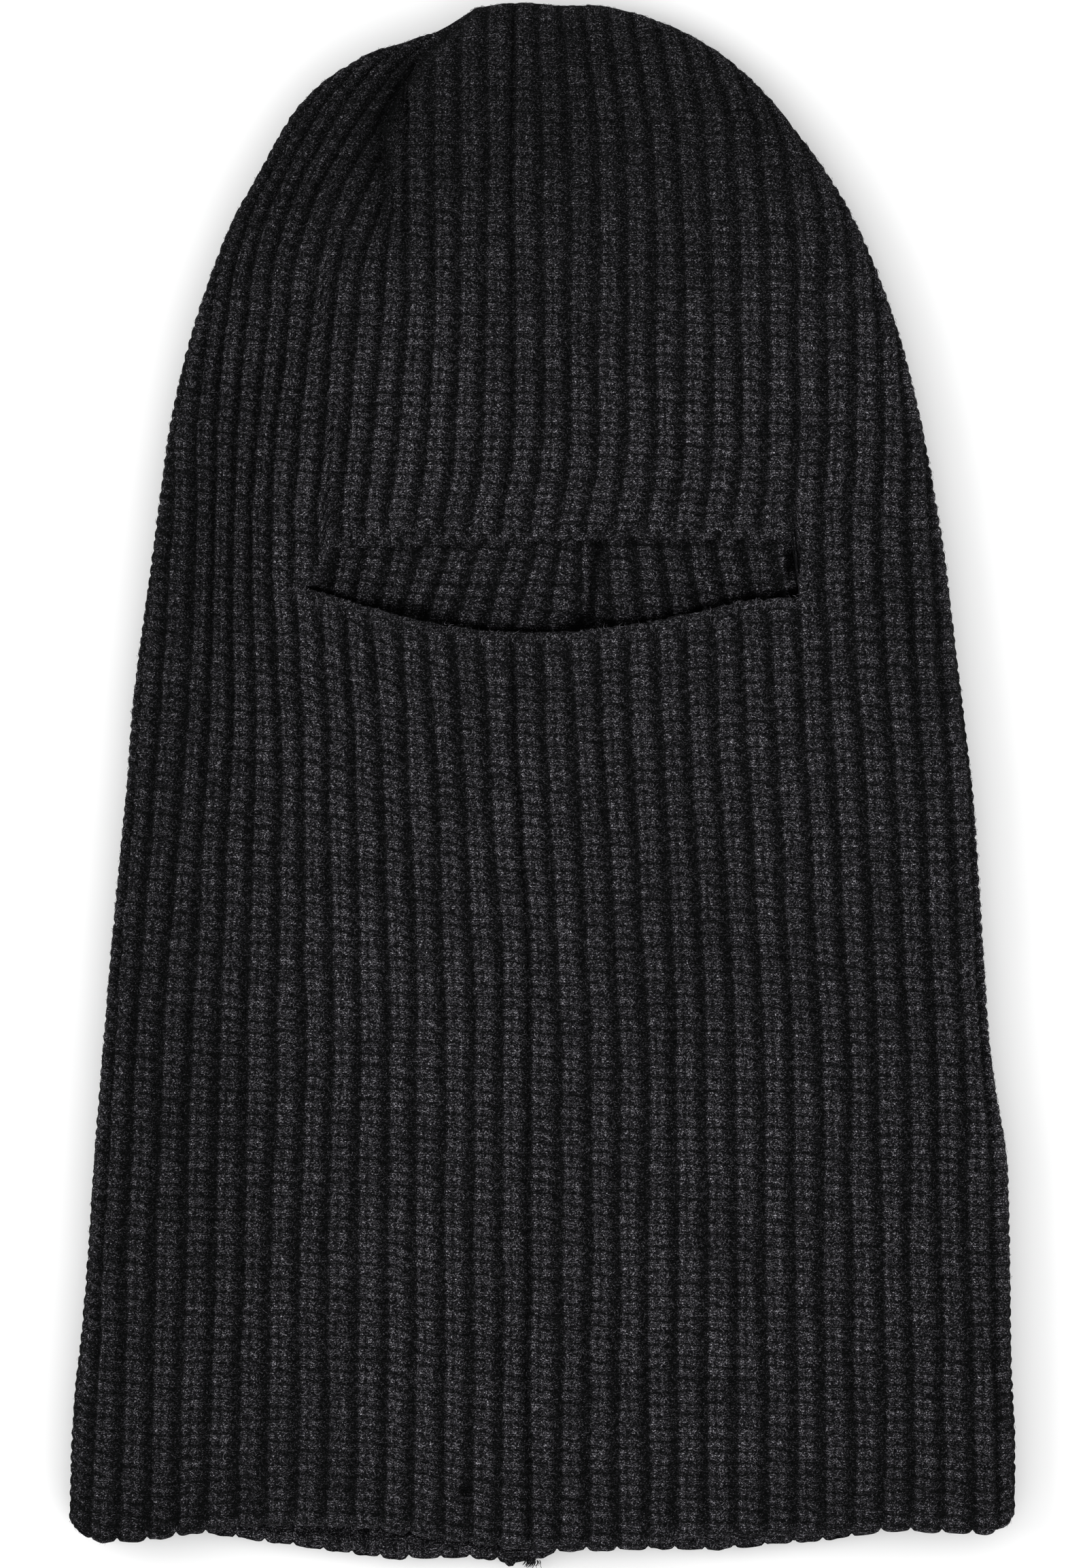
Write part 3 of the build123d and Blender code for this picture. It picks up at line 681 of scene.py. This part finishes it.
# --- Materials
class Shader:
    """Shorthand for building one material's nodes."""

    def __init__(self, name):
        self.material = bpy.data.materials.new(name)
        self.material.use_nodes = True
        self.nodes = self.material.node_tree.nodes
        self.links = self.material.node_tree.links
        self.surface = self.nodes["Principled BSDF"]
        self.place = self.nodes.new("ShaderNodeTexCoord").outputs["Object"]

    def put(self, socket, value):
        """Link a socket, or set its value."""
        if isinstance(value, bpy.types.NodeSocket):
            self.links.new(value, socket)
        else:
            socket.default_value = value

    def attribute(self, name):
        node = self.nodes.new("ShaderNodeAttribute")
        node.attribute_name = name
        return node.outputs["Fac"]

    def math(self, kind, a, b=0.0, c=0.0, clamp=False):
        node = self.nodes.new("ShaderNodeMath")
        node.operation, node.use_clamp = kind, clamp
        for socket, value in zip(node.inputs, (a, b, c)):
            self.put(socket, value)
        return node.outputs[0]

    def vector(self, kind, a, b=(0, 0, 0)):
        node = self.nodes.new("ShaderNodeVectorMath")
        node.operation = kind
        self.put(node.inputs[0], a)
        self.put(node.inputs[1], b)
        return node.outputs["Value"] if kind == "LENGTH" else node.outputs["Vector"]

    def noise(self, scale, detail=2.0, rough=0.6, place=None, output="Fac"):
        node = self.nodes.new("ShaderNodeTexNoise")
        node.inputs["Scale"].default_value = scale
        node.inputs["Detail"].default_value = detail
        node.inputs["Roughness"].default_value = rough
        self.links.new(self.place if place is None else place, node.inputs["Vector"])
        return node.outputs[output]

    def mix(self, share, a, b, blend="MIX"):
        node = self.nodes.new("ShaderNodeMix")
        node.data_type, node.blend_type = "RGBA", blend
        self.put(node.inputs["Factor"], share)
        self.put(node.inputs["A"], a)
        self.put(node.inputs["B"], b)
        return node.outputs["Result"]

    def parts(self, colour):
        node = self.nodes.new("ShaderNodeSeparateColor")
        self.links.new(colour, node.inputs["Color"])
        return node.outputs

    def curve(self, value, pairs):
        """A smooth curve through a short table of places and values."""
        node = self.nodes.new("ShaderNodeFloatCurve")
        points = node.mapping.curves[0].points
        points[0].location, points[1].location = pairs[0], pairs[-1]
        for pair in pairs[1:-1]:
            points.new(*pair)
        node.mapping.update()
        self.links.new(value, node.inputs["Value"])
        return node.outputs["Value"]

    def knit(self):
        """The knit's brightness from the rib and row attributes, and fine lines across the left wales. The
        brightness is painted light and shade: dark valleys and gaps between beads, and a lighter left flank
        on each rib.
        """
        waver = self.parts(self.noise(430.0, 2.0, 0.6, output="Color"))
        rib = self.math("MULTIPLY_ADD", waver[0], 0.26, self.math("SUBTRACT", self.attribute("rib"), 0.13))
        across = self.math("FRACT", rib)
        away = self.math("SUBTRACT", across, 0.30)
        bow = self.math("MULTIPLY_ADD", self.math("MULTIPLY", away, away), 0.9, self.attribute("row"))
        row = self.math("MULTIPLY_ADD", waver[1], 0.5, bow)
        bead = self.math("ABSOLUTE", self.math("MULTIPLY_ADD", self.math("FRACT", row), 2.0, -1.0))
        # Painted shade in the gap between two beads.
        beads = self.math("SUBTRACT", 1.0, self.math("MULTIPLY", self.math("POWER", bead, 2.4), 0.86))
        even = self.attribute("plain")
        # Painted light and shade across the rib, times the beads' painted shade.
        shape = self.math("MULTIPLY", self.curve(across, RIB_LIGHT_AND_SHADE), beads)
        shape = self.math("MULTIPLY", shape, self.math("SUBTRACT", 1.0, even))
        shape = self.math("MULTIPLY_ADD", even, 0.72, shape)
        wave = self.math("MULTIPLY_ADD", self.math("SINE", self.math("MULTIPLY", row, 25.13)), 0.5, 0.5)
        near = self.math("SUBTRACT", 1.0, self.math("MULTIPLY", self.math("ABSOLUTE", away), 4.2), clamp=True)
        return shape, self.math("MULTIPLY", wave, near), near

    def short_fibres(self, scale, length, width, seed):
        """Bright short strokes, one to a cell, each turned its own way: fibres that stand out of the yarn."""
        curl = self.vector("SUBTRACT", self.noise(1300.0, 1.0, 0.5, output="Color"), (0.5, 0.5, 0.5))
        moved = self.vector("ADD", self.place, self.vector("MULTIPLY", curl, (0.0006, 0.0006, 0.0006)))
        moved = self.vector("ADD", moved, (0.013 * seed, 0.007 * seed, 0.019 * seed))
        cell = self.nodes.new("ShaderNodeTexVoronoi")
        cell.inputs["Scale"].default_value = scale
        self.links.new(moved, cell.inputs["Vector"])
        parts = self.parts(cell.outputs["Color"])
        turn = self.nodes.new("ShaderNodeVectorRotate")
        turn.rotation_type = "Z_AXIS"
        self.links.new(self.vector("SUBTRACT", moved, cell.outputs["Position"]), turn.inputs["Vector"])
        self.links.new(self.math("MULTIPLY_ADD", parts[0], 2.5, -1.25), turn.inputs["Angle"])
        local = self.vector("MULTIPLY", turn.outputs["Vector"], (1 / length, 1 / width, 1 / length))
        inside = self.math("SUBTRACT", 1.0, self.vector("LENGTH", local))
        inside = self.math("MULTIPLY", inside, 2.2, clamp=True)
        bright = self.math("MULTIPLY_ADD", self.math("POWER", parts[1], 3.2), 0.94, 0.06)
        return self.math("MULTIPLY", inside, bright)


def wool(name, valley_shade, crown, fleck, strength=1.0):
    """Fuzzy dark yarn with painted shade: darker in the valleys and between the beads, with fine light fibres
    standing out of it.
    """
    s = Shader(name)
    s.surface.inputs["Roughness"].default_value = 0.85
    s.surface.inputs["Specular IOR Level"].default_value = 0.03
    shape, lines, near = s.knit()
    tint = s.math("MULTIPLY", s.attribute("tint"), shape)
    long = s.short_fibres(1500.0, 0.00036, 0.00010, 1)
    short = s.short_fibres(2000.0, 0.00028, 0.000085, 4)
    tiny = s.short_fibres(1750.0, 0.00032, 0.00009, 9)
    fibres = s.math("MAXIMUM", s.math("MAXIMUM", long, short), tiny)
    ordered = s.math("SUBTRACT", 1.0, s.math("MULTIPLY", near, 0.55))
    fibres = s.math("MULTIPLY", fibres, s.math("MULTIPLY_ADD", lines, 1.25, ordered))
    lit = s.math("MULTIPLY", fibres, s.math("MULTIPLY", tint, strength), clamp=True)
    clumps = s.math("MULTIPLY_ADD", s.noise(600.0, 3.0, 0.6), 1.1, 0.2)
    clumps = s.math("MULTIPLY", clumps, s.math("MULTIPLY_ADD", lines, 0.8, 0.8))
    # Painted shade: the body runs from the shaded valley colour up to the rib crown colour.
    body = s.mix(tint, (*valley_shade, 1), (*crown, 1))
    body = s.vector("MULTIPLY", body, s.vector("ADD", clumps, (-0.02, -0.02, 0.02)))
    colour = s.mix(lit, body, (*fleck, 1))
    s.links.new(colour, s.surface.inputs["Base Color"])
    bump = s.nodes.new("ShaderNodeBump")
    bump.inputs["Strength"].default_value = 0.7
    bump.inputs["Distance"].default_value = 0.0004
    grain = s.math("MULTIPLY", s.noise(620.0, 3.0, 0.65), 1.3)
    height = s.math("ADD", s.math("MULTIPLY", fibres, 0.8), grain)
    height = s.math("ADD", height, s.math("MULTIPLY", lines, 0.8))
    height = s.math("ADD", height, s.math("MULTIPLY", shape, 1.2))
    s.links.new(height, bump.inputs["Height"])
    s.links.new(bump.outputs["Normal"], s.surface.inputs["Normal"])
    return s.material


def plain(name, colour, rough, attribute_light=None):
    """A plain material; with attribute_light the brightness attribute mixes towards that colour."""
    s = Shader(name)
    s.surface.inputs["Roughness"].default_value = rough
    s.surface.inputs["Specular IOR Level"].default_value = 0.2
    if attribute_light:
        mixed = s.mix(s.attribute("tint"), (*colour, 1), (*attribute_light, 1))
        s.links.new(mixed, s.surface.inputs["Base Color"])
    else:
        s.surface.inputs["Base Color"].default_value = (*colour, 1)
    return s.material


# Painted shade: the colour of the shaded dark between two ribs.
VALLEY_SHADE = (0.0028, 0.0031, 0.0029)  # the dark between two ribs
WOOL = wool("charcoal_wool", VALLEY_SHADE, (0.0083, 0.0079, 0.0090), (0.50, 0.485, 0.53))
EDGE_WOOL = wool("charcoal_edge_wool", VALLEY_SHADE, (0.0090, 0.0086, 0.0097), (0.44, 0.43, 0.465))
FIBRE = plain("loose_fibre", (0.006, 0.006, 0.007), 0.6, (0.25, 0.24, 0.27))
TAPE = plain("label_tape", (0.05, 0.05, 0.055), 0.8)


# --- Loose fibres that stand off the yarn
def fibre_roots(panel, n):
    """Random places on a panel, more of them on the ribs than in the valleys."""
    # The knit's brightness here, its painted light and shade included.
    tint = panel["tint"] * np.interp(panel["rib"] % 1, *np.array(RIB_LIGHT_AND_SHADE).T)
    grid = panel["outer"]
    free = np.argwhere(~panel["clipped"][:-1, :-1])
    weight = 0.15 + np.clip(tint[free[:, 0], free[:, 1]], 0, 1.2)
    pick = free[rng.choice(len(free), n, p=weight / weight.sum())]
    i, j = pick.T
    a, b = rng.random((2, n, 1))
    low = grid[i, j] * (1 - b) + grid[i, j + 1] * b
    high = grid[i + 1, j] * (1 - b) + grid[i + 1, j + 1] * b
    return low * (1 - a) + high * a, panel["up"][i, j], tint[i, j]


def edge_band(line, z, low, high):
    """A narrow strip along an edge of the slot, where loose fibres can start."""
    x = np.linspace(SLOT_LEFT - 3, SLOT_RIGHT + 1, 260)[None, :] * np.ones((4, 1))
    h = line(x) + np.linspace(low, high, 4)[:, None]
    up = np.zeros((*x.shape, 3)) + [0, 0, 1]
    outer = np.stack([x, h, z(x[0]) + 0 * h], -1)
    clipped = np.zeros(x.shape, bool)
    return {"outer": outer, "up": up, "tint": 0 * x + 1, "rib": 0 * x + 0.27, "clipped": clipped}


def fibres(name, panels, count, body, length=(0.45, 1.5), radius=0.042, lean=(1.6, 1.0, 1.0)):
    """Short curved hairs on knit panels, in one mesh of thin three-sided tubes."""
    sizes = np.array([(~p["clipped"]).sum() for p in panels], float)
    found = [fibre_roots(p, int(count * s / sizes.sum())) for p, s in zip(panels, sizes)]
    root, up, bright = (np.concatenate([f[k] for f in found]) for k in range(3))
    n = len(root)
    along = rng.normal(size=(n, 3)) * lean
    side = along - up * (along * up).sum(1)[:, None]
    side /= np.linalg.norm(side, axis=1)[:, None]
    other = np.cross(up, side)
    long = rng.uniform(*length, n)[:, None, None]
    bend = rng.normal(0, 0.4, n)[:, None, None]
    rise = rng.uniform(0.05, 0.45, n)[:, None, None]
    s = np.linspace(0, 1, 4)[None, :, None]
    curve = bend * long * 4 * (s - 0.5) ** 2
    path = root[:, None] + side[:, None] * (long * (s - 0.5)) + other[:, None] * curve
    path = path + up[:, None] * (rise * (1 - (2 * s - 1) ** 2) + 0.02)
    thick = radius * np.array([0.5, 1.0, 0.9, 0.35])[None, :, None]
    ring = []
    for c in range(3):
        a = 2 * math.pi * c / 3
        ring.append(path + (other[:, None] * math.cos(a) + up[:, None] * math.sin(a)) * thick)
    points = np.stack(ring, 2).reshape(-1, 3)
    start = np.arange(n)[:, None, None] * 12
    one = []
    for r, c in np.ndindex(3, 3):
        after = (c + 1) % 3
        one.append([r * 3 + c, r * 3 + after, r * 3 + 3 + after, r * 3 + 3 + c])
    quads = (start + np.array(one)[None]).reshape(-1, 4).tolist()
    caps = (start + np.array([[2, 1, 0], [9, 10, 11]])[None]).reshape(-1, 3).tolist()
    # Each fibre's brightness: random, times the knit's brightness where it starts, which holds painted shade.
    shade = np.repeat(np.clip(rng.random(n) ** 1.6 * (0.25 + 0.85 * bright), 0, 1), 12)
    ob = mesh_object(name, points, quads + caps, FIBRE, shade)
    place(ob, body, "charcoal_rib_knit")


# --- The knit panels
neck_courses = round((SPLIT_LOW - 4) / COURSE)
face_courses = round((SLOT_NOSE + 4 - SPLIT_LOW) / COURSE)
crown_courses = round((SHEET_TOP - SLOT_CORNER) / COURSE)
face_start, crown_start = neck_courses, neck_courses + face_courses
corner, split, summit = level(SLOT_CORNER), level(SPLIT_LOW), level(SHEET_TOP)
halves = {"left": (-17.5, 0.0), "right": (0.0, 18.5)}
CAD_NODES = {
    "front_neck_left": ["neck_front_panel", "left_neck_fold"],
    "front_neck_right": ["right_neck_fold"],
    "front_face_left": ["front_face_panel", "left_cheek_fold"],
    "front_face_right": ["right_cheek_fold"],
    "front_crown_left": ["front_crown_panel", "crown_fold", "crown_tuck"],
    "back_neck_left": ["neck_back_left"],
    "back_neck_right": ["neck_back_right"],
    "back_face_left": ["back_head_left"],
    "back_face_right": ["back_head_right"],
}
panels = {}
for side, reach in halves.items():
    neck = (neck_courses, 0, reach)
    face = (face_courses, face_start, reach)
    crown = (crown_courses, crown_start, reach)
    panels[f"front_neck_{side}"] = knit_panel(True, front_hem, split, *neck, "hem")
    panels[f"front_face_{side}"] = knit_panel(True, split, nose_line, *face, "nose")
    panels[f"front_crown_{side}"] = knit_panel(True, brow_line, summit, *crown, "brow")
    panels[f"back_neck_{side}"] = knit_panel(False, back_hem, split, *neck, "hem")
    panels[f"back_face_{side}"] = knit_panel(False, split, corner, *face)
    panels[f"back_crown_{side}"] = knit_panel(False, corner, summit, *crown)

for name, panel in panels.items():
    ob = panel_object(name + "_knit", panel, WOOL)
    place(ob, "neck" if "neck" in name else "head", "charcoal_rib_knit", *CAD_NODES.get(name, []))


# --- Finished edges
def edge_roll(name, line, start, end, z, radius, body, node):
    """A soft rolled edge of linked yarn loops along a line, lumpy at every stitch."""
    x = np.arange(start, end, 0.45)
    beat = np.sin(2 * math.pi * x / 2.3 + 0.8 * noise(x / 7, x * 0, 8))
    lump = 1 + 0.07 * beat + 0.09 * noise(x / 2.4, x * 0, 44)
    h = line(x) + 0.3 * noise(x / 2.1, 0 * x, 9) + 0.25 * noise(x / 6.0, 0 * x, 19)
    path = np.stack([x, h, z(x) + 0.2 * noise(x / 3.0, 0 * x, 10)], 1)
    ends = np.minimum(1, np.minimum(x - start, end - x) / 2.0 + 0.25)
    roll = yarn_object(name, [path], [radius * lump * ends], EDGE_WOOL, 10, 0.62)
    place(roll, body, "charcoal_edge_chain", node)


def nose_z(x):
    """Z of the roll on the slot's lower edge. The three functions below it are alike."""
    return THICK - LAYER / 2 - front_sink(x, nose_line(x) - 0.48)


def brow_z(x):
    return THICK - 3.1 - front_sink(x, brow_line(x) + 0.52)


def hem_z(x):
    return THICK - 2.3 - front_sink(x, FRONT_HEM(x) + 1)


def back_hem_z(x):
    return LAYER / 2 + back_lift(x, BACK_HEM(x) + 1)


def below_nose(x):
    return nose_line(x) - 0.9


def above_brow(x):
    return brow_line(x) + 1.0


def in_front_hem(x):
    return FRONT_HEM(x) + 1.0


def in_back_hem(x):
    return BACK_HEM(x) + 1.2


edge_roll("nose_edge_roll", below_nose, SLOT_LEFT + 1, SLOT_RIGHT - 1, nose_z, 1.35, "head", "nose_edge")
edge_roll("brow_edge_roll", above_brow, SLOT_LEFT + 9, SLOT_RIGHT - 4, brow_z, 0.75, "head", "brow_edge")
edge_roll("front_hem_roll", in_front_hem, -108, 108, hem_z, 0.8, "neck_end", "front_hem_edge")
edge_roll("back_hem_roll", in_back_hem, -108, 108, back_hem_z, 1.1, "neck_end", "back_hem_edge")


# --- Seam yarn: back seam, corners of the slot, crown, loose ends
def seam_loops(low, high, z_inside, z_outside):
    """Small slanted stitches that draw the two edges of the back together, one to a course."""
    paths, radii = [], []
    for h in np.arange(low, high, COURSE):
        x = seam_x(h)
        s = np.linspace(0, 1, 7)
        arch = np.sin(math.pi * s)
        lean = 0.9 * (s - 0.5)
        paths.append(np.stack([x + 2.6 * (s - 0.5), h + lean, z_inside(x, h) + 0.7 * arch], 1))
        paths.append(np.stack([x + 2.6 * (s - 0.5), h - lean, z_outside - 0.45 * arch + 0 * s], 1))
        radii += [0.42 + 0 * s, 0.4 + 0 * s]
    return paths, radii


def inside_back(x, h):
    return LAYER - 1.9 + back_lift(np.array([x]), np.array([h]))[0]


def seam_piece(name, low, high, body, node):
    paths, radii = seam_loops(low, high, inside_back, 1.15)
    place(yarn_object(name, paths, radii, EDGE_WOOL, 6, 0.12), body, "seam_yarn", node)


seam_piece("neck_seam_stitches", 4, SPLIT_LOW - 1, "neck", "neck_back_seam")
seam_piece("head_seam_stitches", SPLIT_LOW + 1, LENGTH - 12, "head", "head_back_seam")


def corner_wraps(name, where, way, node, height, bright):
    """Two twisted turns of yarn that hold a corner of the slot."""
    paths, radii = [], []
    for turn in range(2):
        s = np.linspace(0, 1, 15)
        twist = 0.42 * np.array([np.cos(9 * s + math.pi * turn), np.sin(9 * s + math.pi * turn)])
        x = where[0] + way[0] * (s - 0.5) - way[1] * 0.12 * twist[0]
        h = where[1] + way[1] * (s - 0.5) + way[0] * 0.12 * twist[0]
        z = height + 1.1 * np.sin(math.pi * s) - 0.5 + twist[1]
        paths.append(np.stack([x, h, z], 1))
        radii.append(0.5 * np.minimum(1, 4 * np.minimum(s, 1 - s) + 0.4))
    place(yarn_object(name, paths, radii, EDGE_WOOL, 8, bright), "head", "seam_yarn", node)


left_corner = (SLOT_LEFT + 0.6, SLOT_CORNER - 0.4)
right_corner = (SLOT_RIGHT + 1.7, SLOT_CORNER + 1.2)
corner_wraps("left_corner_wraps", left_corner, (3.2, -1.4), "left_corner_tack", THICK - 3.4, 0.75)
corner_wraps("right_corner_wraps", right_corner, (3.6, 4.2), "right_corner_tack", THICK - 0.9, 1.9)


def whip_stitches():
    """The gathering thread inside the top of the crown."""
    low, high = CLOSING
    s = np.linspace(0, 1, 260)
    x = low[0] + 1 + (high[0] - low[0] - 2) * s
    h = (low[1] + high[1]) / 2 - HEM_Y - 2.0 - 5.5 * (x / 30) ** 2
    turn = 2 * math.pi * 17 * s
    path = np.stack([x, h + 0.7 * np.cos(turn), MIDDLE + 0.7 * np.sin(turn)], 1)
    thread = yarn_object("crown_gathering_thread", [path], [0.3], EDGE_WOOL, 6, 0.5)
    place(thread, "head", "seam_yarn", "crown_closing_seam")


whip_stitches()


def yarn_tails():
    """The seam's end: a thick little stub, and beside it a cut end that has frayed into fine strands."""
    low, high = TAILS
    left, right = low[0] + 2.2, high[0] - 2.2
    s = np.linspace(0, 1, 9)
    stub = np.stack([left + 0.5 * s, 1.6 - 4.3 * s, LAYER / 2 + 0.4 * s], 1)
    core = np.stack([right - 0.3 * s, 2.2 - 4.3 * s, LAYER / 2 + 0.2 * s], 1)
    paths = [stub, core]
    radii = [1.9 * np.array([1, 1, 1, 1, 0.98, 0.92, 0.8, 0.6, 0.3]),
             1.5 * np.array([1, 1, 1, 1, 1, 0.95, 0.85, 0.7, 0.4])]
    for _ in range(46):
        x = right + rng.normal(0, 0.8)
        length = rng.uniform(1.0, 2.0)
        way = rng.normal(0, 0.5)
        z = LAYER / 2 + rng.normal(0, 0.7)
        t = np.linspace(0, 1, 5)
        strand = [x + way * t + 0.2 * np.sin(5 * t + way), -1.2 - length * t, z + 0.3 * t]
        paths.append(np.stack(strand, 1))
        radii.append(np.linspace(0.12, 0.05, 5))
    ends = yarn_object("seam_yarn_ends", paths, radii, EDGE_WOOL, 6, 0.6)
    place(ends, "neck_end", "seam_yarn", "seam_yarn_tails")


yarn_tails()


# --- Care label inside the neck
def label_piece():
    """A folded woven label, hanging from its upper edge inside the neck."""
    low, high = LABEL
    x = np.linspace(low[0], high[0], 25)
    h = np.linspace(low[1], high[1], 15) - HEM_Y
    gx, gh = np.meshgrid(x, h)
    sag = 0.5 * ease((high[1] - HEM_Y - gh) / 12) * (0.6 + 0.4 * noise(gx / 8, gh / 7, 90))
    top = np.stack([gx, gh, high[2] - 0.4 - sag - front_sink(gx, gh)], -1)
    under = top - [0, 0, 0.35]
    rows, cols = gx.shape
    index = np.arange(rows * cols).reshape(rows, cols)
    quads = np.stack([index[:-1, :-1], index[:-1, 1:], index[1:, 1:], index[1:, :-1]], -1).reshape(-1, 4)
    ring = np.concatenate([index[0, :], index[1:, -1], index[-1, -2::-1], index[-2:0:-1, 0]])
    after = np.roll(ring, -1)
    n = rows * cols
    walls = np.stack([after, ring, ring + n, after + n], 1)
    faces = np.concatenate([quads, quads[:, ::-1] + n, walls])
    points = np.concatenate([top.reshape(-1, 3), under.reshape(-1, 3)])
    ob = mesh_object("woven_label", points, faces, TAPE)
    place(ob, "neck_end", "label_tape", "care_label")


def label_stitch_piece():
    """The row of short stitches along the label's upper edge."""
    low, high = LABEL_STITCHES
    paths, radii = [], []
    for x in np.arange(low[0] + 1, high[0] - 1, 3.2):
        s = np.linspace(0, 1, 5)
        h = (low[1] + high[1]) / 2 - HEM_Y + 0 * s
        z = high[2] + 0.35 - 0.3 * np.sin(math.pi * s) - front_sink(x + 2.0 * s, h)
        paths.append(np.stack([x + 2.0 * s, h, z], 1))
        radii.append(0.18 + 0 * s)
    place(yarn_object("label_thread", paths, radii, TAPE, 6), "neck_end", "seam_yarn", "label_stitches")


label_piece()
label_stitch_piece()

# --- Fuzz
def fuzz(name, count, body, *names):
    fibres(name, [panels[n] for n in names], count, body)


def edge_fuzz(name, line, height, low, high):
    band = edge_band(line, height, low, high)
    fibres(name, [band], 420, "head", length=(0.8, 2.2), radius=0.045, lean=(1, 1.4, 1))


fuzz("fuzz_front_neck", 9500, "neck", "front_neck_left", "front_neck_right")
fuzz("fuzz_front_face", 9500, "head", "front_face_left", "front_face_right")
fuzz("fuzz_front_crown", 9500, "head", "front_crown_left", "front_crown_right")
fuzz("fuzz_back", 6000, "head", "back_face_left", "back_crown_left", "back_face_right", "back_crown_right")
edge_fuzz("fuzz_nose_edge", nose_line, lambda x: nose_z(x) + 1.0, -3.0, 0.5)
edge_fuzz("fuzz_brow_edge", brow_line, lambda x: brow_z(x) + 0.7, 0.2, 2.6)


# --- Floor, light and camera
def floor():
    bpy.ops.mesh.primitive_plane_add(size=6, location=(0, 0, -0.0002))
    ob = bpy.context.object
    ob.name = "floor"
    ob.data.materials.append(plain("pale_floor", (0.93, 0.93, 0.93), 0.9))


def light(name, place, size, energy):
    """A square soft light that looks at the garment's middle."""
    lamp = bpy.data.lights.new(name, "AREA")
    lamp.size, lamp.energy = size, energy
    ob = bpy.data.objects.new(name, lamp)
    ob.location = place
    ob.rotation_euler = (-Vector(place)).to_track_quat("-Z", "Y").to_euler()
    bpy.context.collection.objects.link(ob)


floor()
light("window_left", (-1.6, 0.3, 1.2), 1.2, 15)
light("fill_right", (1.0, -1.2, 1.6), 1.8, 12)
world = bpy.data.worlds.new("studio")
world.use_nodes = True
world.node_tree.nodes["Background"].inputs[0].default_value = (1, 1, 1, 1)
world.node_tree.nodes["Background"].inputs[1].default_value = 1.0
bpy.context.scene.world = world
bpy.context.scene.view_settings.view_transform = "Standard"

FRAME_HEIGHT = 404.2 * MM
DISTANCE = 2.2
camera_data = bpy.data.cameras.new("camera")
camera_data.sensor_fit = "VERTICAL"
camera_data.sensor_height = 24
camera_data.lens = 24 * DISTANCE / FRAME_HEIGHT
camera_data.clip_end = 50
camera = bpy.data.objects.new("camera", camera_data)
camera.location = (-0.26 * MM, (199.5 + HEM_Y) * MM, DISTANCE + MIDDLE * MM)
bpy.context.collection.objects.link(camera)
bpy.context.scene.camera = camera
